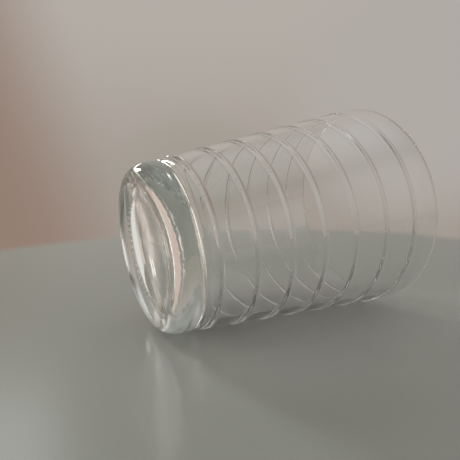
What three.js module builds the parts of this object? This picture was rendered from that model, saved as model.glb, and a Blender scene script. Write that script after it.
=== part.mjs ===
// A clear pressed-glass tumbler: a heavy base on a foot ring, a thin tapered wall with raised rings round it, and a
// rounded rim. Every piece is turned about the same axis, so the pieces meet face to face on shared circles.
// Millimetres, +Z up through the mouth, origin at the middle of the foot.
import * as THREE from 'three';

// Overall sizes
const HEIGHT = 96.1;
const RIM_DIAMETER = 80;
const BASE_DIAMETER = 59;

// Foot ring and the recess inside it
const FOOT_BAND = 1.4; // flat band that stands on the table
const FOOT_SLOPE = 6; // run of the slope from the band in to the recess
const RECESS_DEPTH = 2;
const RECESS_DOME = 1.5; // rise of the recess from its edge to its middle

// Heavy base
const SHOULDER_HEIGHT = 9.8; // floor inside the glass, and the joint of base and wall
const HEEL_WIDTH = 4.5; // the heel's rounding across
const HEEL_HEIGHT = 6.8; // and up
const GROOVE_WIDTH = 1.8; // groove round the outside at the shoulder
const GROOVE_DEPTH = 0.6;

// Wall and rim
const WALL_AT_BASE = 2.4;
const WALL_AT_RIM = 1.5;
const CORNER_ROUNDING = 4; // inside corner of floor and wall
const LIP_HEIGHT = 4; // plain band that ends in the rounded rim

// Raised rings
const RING_COUNT = 7;
const RING_WIDTH = 2.4;
const RING_RISE = 0.5;
const FIRST_RING_ABOVE_SHOULDER = 4.8;
const LAST_RING_BELOW_RIM = 10.7;

// Fineness of the turned faces
const FACETS = 60;
const HEEL_STEPS = 4;
const CORNER_STEPS = 4;
const DOME_STEPS = 3;
const RIM_STEPS = 6;
const RING_STEPS = 4;

// Sizes that follow from the ones above
const rimRadius = RIM_DIAMETER / 2;
const baseRadius = BASE_DIAMETER / 2;
const grooveBelow = SHOULDER_HEIGHT - GROOVE_WIDTH / 2;
const grooveAbove = SHOULDER_HEIGHT + GROOVE_WIDTH / 2;
const heelTop = Math.min(HEEL_HEIGHT, grooveBelow);
const bandOuter = baseRadius - HEEL_WIDTH;
const bandInner = bandOuter - FOOT_BAND;
const recessRadius = bandInner - FOOT_SLOPE;
const rimBulge = WALL_AT_RIM / 2;
const rimCentre = HEIGHT - rimBulge;
const lipBottom = HEIGHT - LIP_HEIGHT;
const cornerTop = SHOULDER_HEIGHT + CORNER_ROUNDING;
const firstRing = SHOULDER_HEIGHT + FIRST_RING_ABOVE_SHOULDER;
const lastRing = HEIGHT - LAST_RING_BELOW_RIM;
const ringPitch = (lastRing - firstRing) / (RING_COUNT - 1);

const point = (radius, height) => new THREE.Vector2(radius, height);

// Radius of the wall's outside and inside at a height: two straight tapers that narrow the wall towards the rim
const rise = (height) => (height - SHOULDER_HEIGHT) / (rimCentre - SHOULDER_HEIGHT);
const outside = (height) => THREE.MathUtils.lerp(baseRadius, rimRadius, rise(height));
const inside = (height) =>
  THREE.MathUtils.lerp(baseRadius - WALL_AT_BASE, rimRadius - WALL_AT_RIM, rise(height));
const floorEdge = inside(cornerTop) - CORNER_ROUNDING;

// Points on an arc about a centre, from one angle to another, both ends included
function arc(centre, radius, fromAngle, toAngle, steps) {
  const points = [];
  for (let step = 0; step <= steps; step += 1) {
    const angle = THREE.MathUtils.lerp(fromAngle, toAngle, step / steps);
    points.push(point(centre.x + radius * Math.cos(angle), centre.y + radius * Math.sin(angle)));
  }
  return points;
}

const clearGlass = {
  color: 0xdfe6e2,
  roughness: 0.04,
  metalness: 0,
  transparent: true,
  opacity: 0.4,
};

// One named piece, turned from a profile of (radius, height) points that runs anticlockwise
function turned(name, profile) {
  const geometry = new THREE.LatheGeometry(profile, FACETS);
  const piece = new THREE.Mesh(geometry, new THREE.MeshStandardMaterial(clearGlass));
  piece.name = name;
  return piece;
}

// The heel is a quarter of an ellipse: the foot ring has it up to the recess, and the base from there up
const heelJoint = Math.acos(1 - RECESS_DEPTH / heelTop);

function heel(fromAngle, toAngle) {
  const points = [];
  for (let step = 0; step <= HEEL_STEPS; step += 1) {
    const angle = THREE.MathUtils.lerp(fromAngle, toAngle, step / HEEL_STEPS);
    points.push(point(bandOuter + HEEL_WIDTH * Math.sin(angle), heelTop * (1 - Math.cos(angle))));
  }
  return points;
}

function footRing() {
  const recessEdge = point(recessRadius, RECESS_DEPTH);
  return turned('foot_ring', [recessEdge, point(bandInner, 0), ...heel(0, heelJoint), recessEdge]);
}

// The recess rises to its middle as a shallow parabola
function base() {
  const dome = [];
  for (let step = 0; step <= DOME_STEPS; step += 1) {
    const share = step / DOME_STEPS;
    dome.push(point(recessRadius * share, RECESS_DEPTH + RECESS_DOME * (1 - share * share)));
  }
  return turned('base', [
    ...dome,
    ...heel(heelJoint, Math.PI / 2),
    point(baseRadius, grooveBelow),
    point(baseRadius - GROOVE_DEPTH, SHOULDER_HEIGHT),
    point(floorEdge, SHOULDER_HEIGHT),
    point(0, SHOULDER_HEIGHT),
  ]);
}

const ringHeight = (index) => firstRing + index * ringPitch;

// The wall's outside has a pair of circles under each ring, so that the ring lies on a face of its own
function wall() {
  const ringSeats = [];
  for (let index = 0; index < RING_COUNT; index += 1) {
    for (const edge of [-RING_WIDTH / 2, RING_WIDTH / 2]) {
      const height = ringHeight(index) + edge;
      ringSeats.push(point(outside(height), height));
    }
  }
  const corner = point(floorEdge, cornerTop);
  return turned('wall', [
    point(floorEdge, SHOULDER_HEIGHT),
    point(baseRadius - GROOVE_DEPTH, SHOULDER_HEIGHT),
    point(outside(grooveAbove), grooveAbove),
    ...ringSeats,
    point(outside(lipBottom), lipBottom),
    point(inside(lipBottom), lipBottom),
    ...arc(corner, CORNER_ROUNDING, 0, -Math.PI / 2, CORNER_STEPS),
  ]);
}

function rim() {
  const middle = point(rimRadius - rimBulge, rimCentre);
  const lipOuter = point(outside(lipBottom), lipBottom);
  return turned('rim', [
    lipOuter,
    ...arc(middle, rimBulge, 0, Math.PI, RIM_STEPS),
    point(inside(lipBottom), lipBottom),
    lipOuter,
  ]);
}

// A raised ring is a low hump whose back is the strip of wall that it lies on
function raisedRing(index) {
  const low = ringHeight(index) - RING_WIDTH / 2;
  const hump = [];
  for (let step = 0; step <= RING_STEPS; step += 1) {
    const share = step / RING_STEPS;
    const height = low + RING_WIDTH * share;
    hump.push(point(outside(height) + RING_RISE * 4 * share * (1 - share), height));
  }
  return turned(`ring_${index + 1}`, [...hump, hump[0]]);
}

const glass = new THREE.Group();
glass.add(footRing(), base(), wall(), rim());
for (let index = 0; index < RING_COUNT; index += 1) {
  glass.add(raisedRing(index));
}
glass.rotation.x = Math.PI / 2; // the profiles turn about Y, and the glass stands along Z

export default glass;
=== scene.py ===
# %% [markdown]
# This lesson dresses a finished construction model of a clear drinking glass, a pressed tumbler. The
# construction model is a frame that is loaded first and never moved. Blender adds what the eye needs: one
# unbroken skin of glass, its finish, the set that it lies in, the light and the camera.

# %% Load the frame
import math

import bpy
from mathutils import Matrix, Vector


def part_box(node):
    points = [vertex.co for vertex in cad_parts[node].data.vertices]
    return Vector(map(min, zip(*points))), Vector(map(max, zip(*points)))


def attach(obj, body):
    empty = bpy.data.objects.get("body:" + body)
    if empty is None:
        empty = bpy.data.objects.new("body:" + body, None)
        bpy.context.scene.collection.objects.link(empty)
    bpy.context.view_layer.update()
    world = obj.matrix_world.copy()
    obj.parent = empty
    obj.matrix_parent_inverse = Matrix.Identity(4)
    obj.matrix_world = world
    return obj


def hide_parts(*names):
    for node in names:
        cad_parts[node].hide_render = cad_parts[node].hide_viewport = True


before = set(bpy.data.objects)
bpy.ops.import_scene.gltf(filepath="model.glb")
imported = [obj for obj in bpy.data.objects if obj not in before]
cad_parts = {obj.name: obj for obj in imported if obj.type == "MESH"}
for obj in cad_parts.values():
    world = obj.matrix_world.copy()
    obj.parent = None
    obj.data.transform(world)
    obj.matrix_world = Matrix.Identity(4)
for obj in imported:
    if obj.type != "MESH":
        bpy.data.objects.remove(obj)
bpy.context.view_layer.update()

MM = 0.001

# %% [markdown]
# The skin has to lie exactly where the construction model is. Its main sizes could be typed in again, but
# then the two could drift apart, so they are read from the boxes of the frame's nodes: how tall the glass
# is, how wide it is at the rim and at the base, and where each raised ring runs.

# %% Read the main sizes
RING_COUNT = 7
RING_NAMES = [f"ring_{number}" for number in range(1, RING_COUNT + 1)]
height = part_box("rim")[1].z
rim_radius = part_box("rim")[1].x
lip_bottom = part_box("rim")[0].z
base_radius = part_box("base")[1].x
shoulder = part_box("base")[1].z
recess_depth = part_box("foot_ring")[1].z
ring_heights = [(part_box(name)[0].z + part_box(name)[1].z) / 2 for name in RING_NAMES]
ring_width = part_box(RING_NAMES[0])[1].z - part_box(RING_NAMES[0])[0].z
print("rings at, mm:", [round(level / MM, 1) for level in ring_heights])

# %% [markdown]
# A tumbler is round, so half of its section is all that has to be drawn. It could be pulled out of a
# cylinder by insets and extrusions, but one outline for a lathe keeps every curve exact. The outline starts
# in the middle of the recess under the base, runs out over the foot and the heel, up the outside over every
# ring, over the rim, down the inside and back to the axis. Each stretch is a short function: round
# stretches are arcs, and the rings are a formula.

# %% Sizes of the small forms
FOOT_BAND = 1.4 * MM
FOOT_SLOPE = 6.0 * MM
RECESS_DOME = 1.5 * MM
HEEL_WIDTH = 4.5 * MM
HEEL_HEIGHT = 6.8 * MM
GROOVE_WIDTH = 1.8 * MM
GROOVE_DEPTH = 0.6 * MM
WALL_AT_BASE = 2.4 * MM
WALL_AT_RIM = 1.5 * MM
CORNER_ROUNDING = 4.0 * MM
RING_RISE = 0.5 * MM

rim_centre = height - WALL_AT_RIM / 2
band_outer = base_radius - HEEL_WIDTH
band_inner = band_outer - FOOT_BAND
recess_radius = band_inner - FOOT_SLOPE
print("foot band, mm:", round(band_inner / MM, 2), "to", round(band_outer / MM, 2))

# %% Lines that the outline follows


def between(start, end, share):
    return start + (end - start) * share


def rise(level):
    """How far up the wall a level is, from 0 at the shoulder to 1 at the rim."""
    return (level - shoulder) / (rim_centre - shoulder)


def outside(level):
    return between(base_radius, rim_radius, rise(level))


def inside(level):
    return between(base_radius - WALL_AT_BASE, rim_radius - WALL_AT_RIM, rise(level))


def swell(share):
    """A soft rise and fall: 0 at both ends of a stretch and past them, and 1 halfway."""
    return math.sin(math.pi * min(max(share, 0), 1)) ** 2


def arc(centre, radius, start, end, steps):
    """Points on an arc, from one angle in degrees to another, both ends included."""
    angles = [math.radians(between(start, end, step / steps)) for step in range(steps + 1)]
    return [(centre[0] + radius * math.cos(a), centre[1] + radius * math.sin(a)) for a in angles]


wall_ends = [round((outside(level) - inside(level)) / MM, 2) for level in (shoulder, rim_centre)]
print("wall at the base and the rim, mm:", wall_ends)

# %% Foot, recess and heel
DOME_STEPS = 16
DOME_SHARES = [step / DOME_STEPS for step in range(DOME_STEPS)] + [0.985, 1.0]  # close together at the edge
SLOPE_SHARES = (0.04, 0.16, 0.3, 0.5, 0.7, 0.9, 0.97, 1.0)  # close together beside the two edges
HEEL_STEPS = 30


def underside():
    """From the middle of the recess, over its edge and down the slope to the flat foot band."""
    points = [(recess_radius * s, recess_depth + RECESS_DOME * (1 - s * s)) for s in DOME_SHARES]
    points += [(between(recess_radius, band_inner, s), recess_depth * (1 - s)) for s in SLOPE_SHARES]
    return points


def heel():
    """A quarter of an ellipse, from the foot band up to the side."""
    angles = [math.radians(90 * step / HEEL_STEPS) for step in range(HEEL_STEPS + 1)]
    return [(band_outer + HEEL_WIDTH * math.sin(a), HEEL_HEIGHT * (1 - math.cos(a))) for a in angles]


print("points under the base:", len(underside()), "and round the heel:", len(heel()))

# %% Groove, rings and rim
GROOVE_STEPS = 10
RING_STEPS = 14
PLAIN_STEPS = 2  # of plain wall on each side of a ring, so that the wall stays flat between the rings
RIM_STEPS = 14


def groove():
    """The soft groove at the shoulder, where the base ends and the wall begins."""
    points = []
    for step in range(GROOVE_STEPS + 1):
        share = step / GROOVE_STEPS
        level = shoulder + GROOVE_WIDTH * (share - 0.5)
        points.append((max(base_radius, outside(level)) - GROOVE_DEPTH * swell(share), level))
    return points


def ring(middle):
    """A soft swell between two narrow strips of plain wall."""
    points = []
    for step in range(-PLAIN_STEPS, RING_STEPS + PLAIN_STEPS + 1):
        share = step / RING_STEPS
        level = middle + ring_width * (share - 0.5)
        points.append((outside(level) + RING_RISE * swell(share), level))
    return points


def lip():
    return arc((rim_radius - WALL_AT_RIM / 2, rim_centre), WALL_AT_RIM / 2, 0, 180, RIM_STEPS)


print("points in the groove:", len(groove()), "and over a ring:", len(ring(ring_heights[0])))

# %% The hollow and the whole outline
INSIDE_STEPS = 10
CORNER_STEPS = 12
FLOOR_STEPS = 8


def hollow():
    """Down the inside of the wall, round the corner and over the floor to the axis."""
    corner_top = shoulder + CORNER_ROUNDING
    floor_edge = inside(corner_top) - CORNER_ROUNDING
    levels = [between(lip_bottom, corner_top, step / INSIDE_STEPS) for step in range(INSIDE_STEPS)]
    points = [(inside(level), level) for level in levels]
    points += arc((floor_edge, corner_top), CORNER_ROUNDING, 0, -90, CORNER_STEPS)
    points += [(floor_edge * (1 - step / FLOOR_STEPS), shoulder) for step in range(1, FLOOR_STEPS + 1)]
    return points


outline = underside() + heel() + groove()
for ring_height in ring_heights:
    outline += ring(ring_height)
outline += lip() + hollow()
print("points on the outline:", len(outline))

# %% [markdown]
# One vertex is extruded along the outline, and the chain is spun round the axis, as on a lathe. The real
# glass is one pressing, so its skin is one closed mesh. It could be a mesh for each piece, but these would
# put walls inside the glass, and light would bend at each of them.

# %% Draw and spin
AROUND = 288
MERGE_DISTANCE = 0.002 * MM


def draw_outline(name, points):
    """One vertex, extruded from point to point."""
    bpy.ops.object.select_all(action="DESELECT")
    bpy.ops.mesh.primitive_plane_add(size=MM, location=(0, 0, 0))
    piece = bpy.context.object
    piece.name = name
    bpy.ops.object.mode_set(mode="EDIT")
    bpy.ops.mesh.select_all(action="SELECT")
    bpy.ops.mesh.merge(type="CENTER")
    bpy.ops.transform.translate(value=(points[0][0], 0, points[0][1]))
    for (r_from, z_from), (r_to, z_to) in zip(points, points[1:]):
        step = (r_to - r_from, 0, z_to - z_from)
        bpy.ops.mesh.extrude_region_move(TRANSFORM_OT_translate={"value": step})
    return piece


def spin_closed(steps):
    """Spin the chain all the way round and close the seam and the poles."""
    bpy.ops.mesh.select_all(action="SELECT")
    bpy.ops.mesh.spin(steps=steps, angle=2 * math.pi, center=(0, 0, 0), axis=(0, 0, 1))
    bpy.ops.mesh.select_all(action="SELECT")
    bpy.ops.mesh.remove_doubles(threshold=MERGE_DISTANCE)
    bpy.ops.mesh.normals_make_consistent(inside=False)
    bpy.ops.object.mode_set(mode="OBJECT")


skin = draw_outline("glass_skin", outline)
spin_closed(AROUND)
bpy.ops.object.shade_smooth()
print("faces in the skin:", len(skin.data.polygons))

# %% [markdown]
# The edge of the recess is broken by a ring of short notches, pressed into the glass by the mould. They
# could be a bump in the finish, but a bump has no depth of its own, so they are pressed into the mesh. The
# faces of the slope beside the edge are picked by how far out they are and by their turn round the axis,
# and each group is inset and pushed in.

# %% Press the notches
NOTCHES = 48
NOTCH_WIDTH = 0.55  # share of the pitch
NOTCH_DEPTH = 0.22 * MM
NOTCH_EDGE = 0.12 * MM
NOTCH_START, NOTCH_END = SLOPE_SHARES[:2]  # the strip of the slope that holds them


def notch_face(middle):
    share = (math.hypot(middle.x, middle.y) - recess_radius) / FOOT_SLOPE
    turn = math.atan2(middle.y, middle.x) / (2 * math.pi) * NOTCHES
    under_base = middle.z < shoulder / 2
    return under_base and NOTCH_START < share < NOTCH_END and turn % 1 < NOTCH_WIDTH


bpy.ops.object.mode_set(mode="EDIT")
bpy.ops.mesh.select_mode(type="FACE")
bpy.ops.mesh.select_all(action="DESELECT")
bpy.ops.object.mode_set(mode="OBJECT")
for face in skin.data.polygons:
    face.select = notch_face(face.center)
print("faces in the notches:", sum(face.select for face in skin.data.polygons))
bpy.ops.object.mode_set(mode="EDIT")
bpy.ops.mesh.inset(thickness=NOTCH_EDGE, depth=-NOTCH_DEPTH)
bpy.ops.object.mode_set(mode="OBJECT")

# %% [markdown]
# A finish is a small network of nodes. It could be linked node by node, but that hides the sum that it
# stands for. Wrapping a socket in a class lets the network be written as sums: an expression such as
# 1 - mask adds the Math node for it.

# %% A socket that can be reckoned with


class Wire:
    """A socket of a node tree. Sums of wires add Math nodes, and add() puts in any other node."""

    def __init__(self, tree, socket=None):
        self.tree = tree
        self.socket = socket

    def add(self, kind, settings=None, inputs=None, output=0):
        node = self.tree.nodes.new(kind)
        for name, value in (settings or {}).items():
            setattr(node, name, value)
        for name, value in (inputs or {}).items():
            if isinstance(value, Wire):
                self.tree.links.new(value.socket, node.inputs[name])
            else:
                node.inputs[name].default_value = value
        return Wire(self.tree, node.outputs[output] if node.outputs else None)

    def sum(self, operation, first, second):
        return self.add("ShaderNodeMath", {"operation": operation}, {0: first, 1: second})

    def __add__(self, other):
        return self.sum("ADD", self, other)

    def __radd__(self, other):
        return self.sum("ADD", other, self)

    def __sub__(self, other):
        return self.sum("SUBTRACT", self, other)

    def __rsub__(self, other):
        return self.sum("SUBTRACT", other, self)

    def __mul__(self, other):
        return self.sum("MULTIPLY", self, other)

    def __rmul__(self, other):
        return self.sum("MULTIPLY", other, self)

    def remap(self, low, high, to_low, to_high):
        values = {"From Min": low, "From Max": high, "To Min": to_low, "To Max": to_high, "Value": self}
        return self.add("ShaderNodeMapRange", {"interpolation_type": "SMOOTHSTEP"}, values)

    def dot(self, direction):
        values = {0: self, 1: direction}
        return self.add("ShaderNodeVectorMath", {"operation": "DOT_PRODUCT"}, values, "Value")

    def length(self):
        return self.add("ShaderNodeVectorMath", {"operation": "LENGTH"}, {0: self}, "Value")

    def mix(self, low, high):
        """A colour between two, with this wire as the share."""
        return self.add("ShaderNodeMix", {"data_type": "RGBA"}, {"Factor": self, 6: low, 7: high}, 2)


def new_material(name):
    material = bpy.data.materials.new(name)
    material.use_nodes = True
    material.node_tree.nodes.clear()
    return material, Wire(material.node_tree)


print("socket class ready")

# %% [markdown]
# Pressed glass is colourless and smooth, but never perfect. It has slow waves from the mould, fine turned
# marks on the heavy base, a faint film of handling that dulls it in patches, and a grey-green cast that only
# the base is deep enough to show. The waves and the marks could be modelled, but they are far finer than
# the mesh, so they are a bump. The film is roughness, and the cast is absorption inside the glass, so that
# it grows with the depth.

# %% Waves and marks of the mould
WAVE_SCALE = 70.0
WAVE_HEIGHT = 0.02 * MM
MARK_SCALE = 900.0
MARK_HEIGHT = 0.012 * MM
MARK_DRIFT = 0.06  # the marks run round the axis, and change only slowly across it
DRIFT_HEADING = (1.0, 0.7, 0.0)
MARK_FADE = 4 * MM  # above the shoulder
FLOW_SCALE = 34.0
FLOW_SHARE = 1.5  # ripples up the heel, against the turned marks


def noise(start, place, scale, detail, roughness=0.5):
    values = {"Vector": place, "Scale": scale, "Detail": detail, "Roughness": roughness}
    return start.add("ShaderNodeTexNoise", None, values)


def mould_marks(start, place):
    """The height of the fine marks on the base, which end a little above the shoulder."""
    flat = start.add("ShaderNodeVectorMath", {"operation": "MULTIPLY"}, {0: place, 1: (1.0, 1.0, 0.0)})
    out = flat.length()
    up = place.dot((0.0, 0.0, 1.0))
    drift = MARK_DRIFT * place.dot(DRIFT_HEADING)
    turned = start.add("ShaderNodeCombineXYZ", None, {0: out, 1: up, 2: drift})
    round_axis = start.add("ShaderNodeVectorMath", {"operation": "NORMALIZE"}, {0: flat})
    flow = noise(start, round_axis, FLOW_SCALE, detail=2.0) * out.remap(band_inner, band_outer, 0.0, 1.0)
    marks = noise(start, turned, MARK_SCALE, detail=2.0) + FLOW_SHARE * flow
    return marks * up.remap(shoulder, shoulder + MARK_FADE, 1.0, 0.0)


def mould_normal(start, place):
    """Slow waves all over, and the fine marks on top of them."""
    waves = noise(start, place, WAVE_SCALE, detail=1.0)
    marks = mould_marks(start, place)
    values = {"Height": waves, "Strength": 1.0, "Distance": WAVE_HEIGHT}
    wavy = start.add("ShaderNodeBump", None, values)
    values = {"Height": marks, "Strength": 1.0, "Distance": MARK_HEIGHT, "Normal": wavy}
    return start.add("ShaderNodeBump", None, values)


print("waves, mm:", WAVE_HEIGHT / MM, "and marks, mm:", MARK_HEIGHT / MM)

# %% Glass finish
GLASS_INDEX = 1.52
FILM_SCALE = 45.0
FILM_GRAIN = 0.65
FILM_EDGES = (0.52, 0.72)  # of the noise, from clean glass to the full film
FILM_ROUGHNESS = 0.05
CAST = (0.80, 0.835, 0.815, 1.0)
CAST_DENSITY = 16.0


def clear_glass():
    material, start = new_material("clear_glass")
    place = start.add("ShaderNodeTexCoord", output="Object")
    film = noise(start, place, FILM_SCALE, detail=5.0, roughness=FILM_GRAIN)
    values = {
        "Base Color": (1.0, 1.0, 1.0, 1.0),
        "Roughness": film.remap(*FILM_EDGES, 0.0, FILM_ROUGHNESS),
        "IOR": GLASS_INDEX,
        "Transmission Weight": 1.0,
        "Normal": mould_normal(start, place),
    }
    glass = start.add("ShaderNodeBsdfPrincipled", None, values, "BSDF")
    values = {"Color": CAST, "Density": CAST_DENSITY}
    depth = start.add("ShaderNodeVolumeAbsorption", None, values, "Volume")
    start.add("ShaderNodeOutputMaterial", None, {"Surface": glass, "Volume": depth})
    return material


skin.data.materials.append(clear_glass())
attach(skin, "root")
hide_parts("foot_ring", "base", "wall", "rim", *RING_NAMES)
print("the skin stands for the foot ring, base, wall, rim and", len(RING_NAMES), "rings")

# %% [markdown]
# The picture shows the glass lying on its side, while the model stands upright. Nothing of the model may
# turn, so the set turns instead: its surface is a plane that touches the rings along one side of the glass.
# Everything else is placed from that plane, by how far it is along the glass, out from it and up from the
# surface. The surface could be endless, but then it would cut off other views. It is a disc that fades out
# at its rim and is seen only from its front.

# %% Directions in the set
up_across = Vector((1, -1, 0)).normalized()
axis = Vector((0, 0, 1))
outwards = axis.cross(up_across)
first_touch = axis * ring_heights[0] - up_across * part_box(RING_NAMES[0])[1].x
last_touch = axis * ring_heights[-1] - up_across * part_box(RING_NAMES[-1])[1].x
along = (last_touch - first_touch).normalized()
upwards = outwards.cross(along).normalized()


def lying(forward, out, up):
    """A place in the set: along the glass, out to the viewer's side and up from the surface."""
    return first_touch + along * forward + outwards * out + upwards * up


def towards(azimuth, elevation):
    """A direction from the glass: turned from straight behind it towards the mouth, and lifted."""
    turn = math.radians(azimuth)
    lift = math.radians(elevation)
    level = along * math.sin(turn) - outwards * math.cos(turn)
    return level * math.cos(lift) + upwards * math.sin(lift)


print("the surface leans", round(math.degrees(up_across.angle(upwards)), 2), "degrees to the axis")

# %% The lying surface
SURFACE_RADIUS = 270 * MM
SURFACE_FADE = 36 * MM
SURFACE_MIDDLE = lying(43 * MM, 33 * MM, 0)
SATIN_TONE = (0.35, 0.37, 0.34, 1.0)
SATIN_ROUGHNESS = 0.30
DISC_SIDES = 256


def disc(name, middle, facing, radius):
    bpy.ops.object.select_all(action="DESELECT")
    bpy.ops.mesh.primitive_circle_add(vertices=DISC_SIDES, radius=radius, fill_type="NGON")
    piece = bpy.context.object
    piece.name = name
    piece.matrix_world = Matrix.Translation(middle) @ facing.to_track_quat("Z", "Y").to_matrix().to_4x4()
    return piece


def inner_share(start, core, radius):
    """1 in the core of a disc, fading to 0 at its rim."""
    place = start.add("ShaderNodeTexCoord", output="Object")
    return place.length().remap(core, radius, 1.0, 0.0)


def show_share(start, share, shader):
    """Ends a finish that shows a shader by a share and is clear for the rest."""
    clear = start.add("ShaderNodeBsdfTransparent")
    both = start.add("ShaderNodeMixShader", None, {0: share, 1: clear, 2: shader})
    start.add("ShaderNodeOutputMaterial", None, {"Surface": both})


def pale_satin():
    """A satin finish that fades out at the rim of the disc and is seen only from its front."""
    material, start = new_material("pale_surface")
    front = 1.0 - start.add("ShaderNodeNewGeometry", output="Backfacing")
    share = front * inner_share(start, SURFACE_RADIUS - SURFACE_FADE, SURFACE_RADIUS)
    values = {"Base Color": SATIN_TONE, "Roughness": SATIN_ROUGHNESS}
    show_share(start, share, start.add("ShaderNodeBsdfPrincipled", None, values, "BSDF"))
    return material


surface = disc("surface", SURFACE_MIDDLE, upwards, SURFACE_RADIUS)
surface.data.materials.append(pale_satin())
print("the surface is", round(2 * SURFACE_RADIUS / MM), "mm across")

# %% [markdown]
# Glass has no colour of its own: it shows what is round it. A warm surround with a few soft patches fills
# it. One lamp could make all the glints too, but it would show in every curve of the glass. So the tall
# key lamp lights the set and shines through the glass, but isn't mirrored, and small lamps that are only
# mirrored, each in one piece, draw the glints. Pale cards with soft edges stand low behind the base,
# where only the glass shows them, and put the bright bands into it.

# %% Surround
LOW_TONE = (0.36, 0.315, 0.275, 1.0)
HIGH_TONE = (0.46, 0.42, 0.385, 1.0)
TONE_RISE = (-0.15, 0.35)  # from the low tone to the high one, as the sine of the elevation
LEFT_TONE = (0.30, 0.215, 0.175, 1.0)
LEFT_EDGE = (math.radians(1), math.radians(16))
LEFT_SLANT = 0.3  # the edge leans to the left as it rises
FRONT_TONE = (0.10, 0.095, 0.085, 1.0)
FRONT_EDGE = (-0.1, 0.45)  # from the tone in front to what is behind the glass, as a cosine
PATCH_CORE = 0.3  # share of a patch's spread that has its full tone
PATCHES = (  # azimuth, elevation, spread in degrees, tone
    (24, -4, 12, (0.36, 0.335, 0.29, 1.0)),
    (50, 8, 18, (0.435, 0.405, 0.375, 1.0)),
    (170, 52, 50, (0.16, 0.16, 0.15, 1.0)),
    (145, 20, 34, (0.50, 0.49, 0.47, 1.0)),
    (0, 88, 42, (0.75, 0.78, 0.75, 1.0)),
    (112, 8, 26, (0.85, 0.82, 0.74, 1.0)),
)


def surround_tone(start):
    heading = start.add("ShaderNodeTexCoord", output="Generated")
    behind = heading.dot(-outwards)
    lift = heading.dot(upwards)
    turn = start.sum("ARCTAN2", heading.dot(along), behind)  # as towards() counts the azimuth
    back = lift.remap(*TONE_RISE, 0.0, 1.0).mix(LOW_TONE, HIGH_TONE)
    back = (turn + LEFT_SLANT * lift).remap(*LEFT_EDGE, 0.0, 1.0).mix(LEFT_TONE, back)
    tone = behind.remap(*FRONT_EDGE, 0.0, 1.0).mix(FRONT_TONE, back)
    for azimuth, elevation, spread, patch in PATCHES:
        rim = math.cos(math.radians(spread))
        core = math.cos(math.radians(spread * PATCH_CORE))
        tone = heading.dot(towards(azimuth, elevation)).remap(rim, core, 0.0, 1.0).mix(tone, patch)
    return tone


world = bpy.data.worlds.new("surround")
bpy.context.scene.world = world
world.use_nodes = True
world.node_tree.nodes.clear()
start = Wire(world.node_tree)
glow = start.add("ShaderNodeBackground", None, {"Color": surround_tone(start), "Strength": 1.0})
start.add("ShaderNodeOutputWorld", None, {"Surface": glow})
print("surround with", len(PATCHES), "soft patches")

# %% Key lamp and side lamp
BACK_AZIMUTH = -20  # of the lamps behind the glass
BACK_DISTANCE = 0.8
KEY_TONE = (1.0, 0.98, 0.95)
SIDE_TONE = (1.0, 0.90, 0.80)
glass_middle = (first_touch + last_touch) / 2 + upwards * base_radius
base_middle = axis * shoulder / 2


def soft_lamp(name, aim, heading, distance, size, glow, colour):
    """A rectangle of even brightness that faces a place of the glass, upright as the set is."""
    side = upwards.cross(heading).normalized()
    turn = Matrix((side, heading.cross(side), heading)).transposed()
    bpy.ops.object.light_add(type="AREA", location=aim + heading * distance)
    lamp = bpy.context.object
    lamp.name = name
    lamp.rotation_euler = turn.to_euler()
    lamp.data.shape = "RECTANGLE"
    lamp.data.size, lamp.data.size_y = size
    lamp.data.energy = glow * math.pi * size[0] * size[1]
    lamp.data.color = colour
    lamp.visible_camera = False
    return lamp


def back_lamp(name, elevation, size, glow, colour):
    return soft_lamp(name, glass_middle, towards(BACK_AZIMUTH, elevation), BACK_DISTANCE, size, glow, colour)


key = back_lamp("key", elevation=29, size=(0.10, 0.44), glow=14.8, colour=KEY_TONE)
key.visible_glossy = False
soft_lamp(
    "side_lamp", base_middle, towards(-95, 22), distance=0.6, size=(0.66, 0.48), glow=1.0, colour=SIDE_TONE
)
print("key lamp, W:", round(key.data.energy, 2))

# %% Lamps that are only mirrored
CLEAN_WHITE = (1.0, 0.98, 0.96)
GLINT_TONE = (1.0, 0.88, 0.78)
SHEEN_TONE = (0.94, 1.0, 1.0)
near_corner = lying(-79 * MM, 76 * MM, 0)


def mirror_only(lamp, piece):
    """Shows a lamp in the gloss of one piece and nowhere else."""
    lamp.visible_diffuse = lamp.visible_transmission = False
    lamp.light_linking.receiver_collection = bpy.data.collections.new(lamp.name + "_shows_in")
    lamp.light_linking.receiver_collection.objects.link(piece)


mirror_only(back_lamp("strip", elevation=21, size=(0.70, 0.06), glow=3.2, colour=CLEAN_WHITE), skin)
mirror_only(back_lamp("spark", elevation=28, size=(0.05, 0.12), glow=190.0, colour=CLEAN_WHITE), skin)
mirror_only(back_lamp("glint", elevation=7, size=(0.10, 0.08), glow=15.0, colour=GLINT_TONE), surface)
sheen = soft_lamp(
    "sheen", near_corner, towards(0, 34), distance=0.24, size=(0.09, 0.10), glow=2.2, colour=SHEEN_TONE
)
mirror_only(sheen, surface)

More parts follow.
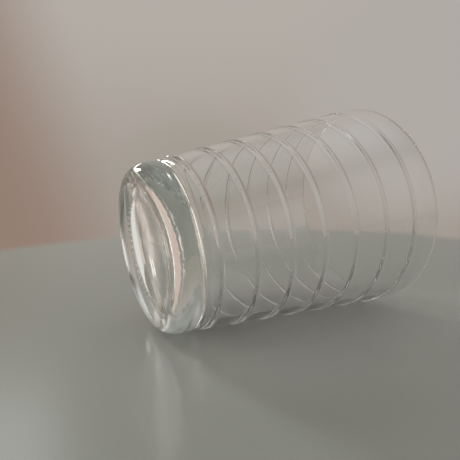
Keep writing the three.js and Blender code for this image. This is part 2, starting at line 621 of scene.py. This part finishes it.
# %% Cards behind the base
CARD_CORE = 0.4  # share of a card's radius that has its full tone
CARDS = (  # name, azimuth, elevation, distance from the base, radius, tone
    ("white_card", -43, -13, 90 * MM, 26 * MM, (0.85, 0.84, 0.80, 1.0)),
    ("shoulder_card", -8, -18, 90 * MM, 26 * MM, (1.5, 1.36, 1.22, 1.0)),
    ("low_card", 8, -24, 62 * MM, 12 * MM, (2.0, 1.86, 1.72, 1.0)),
    ("warm_card", -20, -14, 90 * MM, 26 * MM, (0.72, 0.57, 0.49, 1.0)),
)


def soft_card(name, azimuth, elevation, distance, radius, tone):
    """A glowing disc with a soft edge that faces the base and is seen only through the glass."""
    outward = towards(azimuth, elevation)
    card = disc(name, base_middle + outward * distance, -outward, radius)
    material, start = new_material(name)
    lit = start.add("ShaderNodeEmission", None, {"Color": tone, "Strength": 1.0})
    show_share(start, inner_share(start, radius * CARD_CORE, radius), lit)
    card.data.materials.append(material)
    card.visible_camera = card.visible_diffuse = card.visible_glossy = card.visible_shadow = False


for card_values in CARDS:
    soft_card(*card_values)
print("cards:", [card_values[0] for card_values in CARDS])

# %% [markdown]
# The camera stands low beside the glass, a little towards its foot, and looks slightly down. It could be
# aimed by a constraint, but its turn is reckoned here: its place is given from the same surface, and its
# upright is the surface's, so the picture is level. Light crosses the thick base many times before it
# leaves the glass, so paths may be long.

# %% Camera
CAMERA_PLACE = (-64.1 * MM, 147.4 * MM, 57.0 * MM)  # along the glass, out and up
HEADING = 28.3  # degrees from square across the glass, turned towards the mouth
LOOKS_DOWN = 7.9
LENS = 36.08  # mm
SENSOR = 36.0  # mm across
NEAREST = 5 * MM
BOUNCES = 48


def add_camera():
    ahead = towards(HEADING, -LOOKS_DOWN)
    right = ahead.cross(upwards).normalized()
    turn = Matrix((right, right.cross(ahead), -ahead)).transposed()
    bpy.ops.object.camera_add(location=lying(*CAMERA_PLACE))
    camera = bpy.context.object
    camera.rotation_euler = turn.to_euler()
    camera.data.lens = LENS
    camera.data.sensor_width = SENSOR
    camera.data.clip_start = NEAREST
    return camera


scene = bpy.context.scene
scene.camera = add_camera()
scene.view_settings.view_transform = "Standard"
scene.cycles.max_bounces = BOUNCES
scene.cycles.transmission_bounces = BOUNCES
scene.cycles.glossy_bounces = BOUNCES
print("camera at, mm:", [round(value / MM, 1) for value in scene.camera.location])
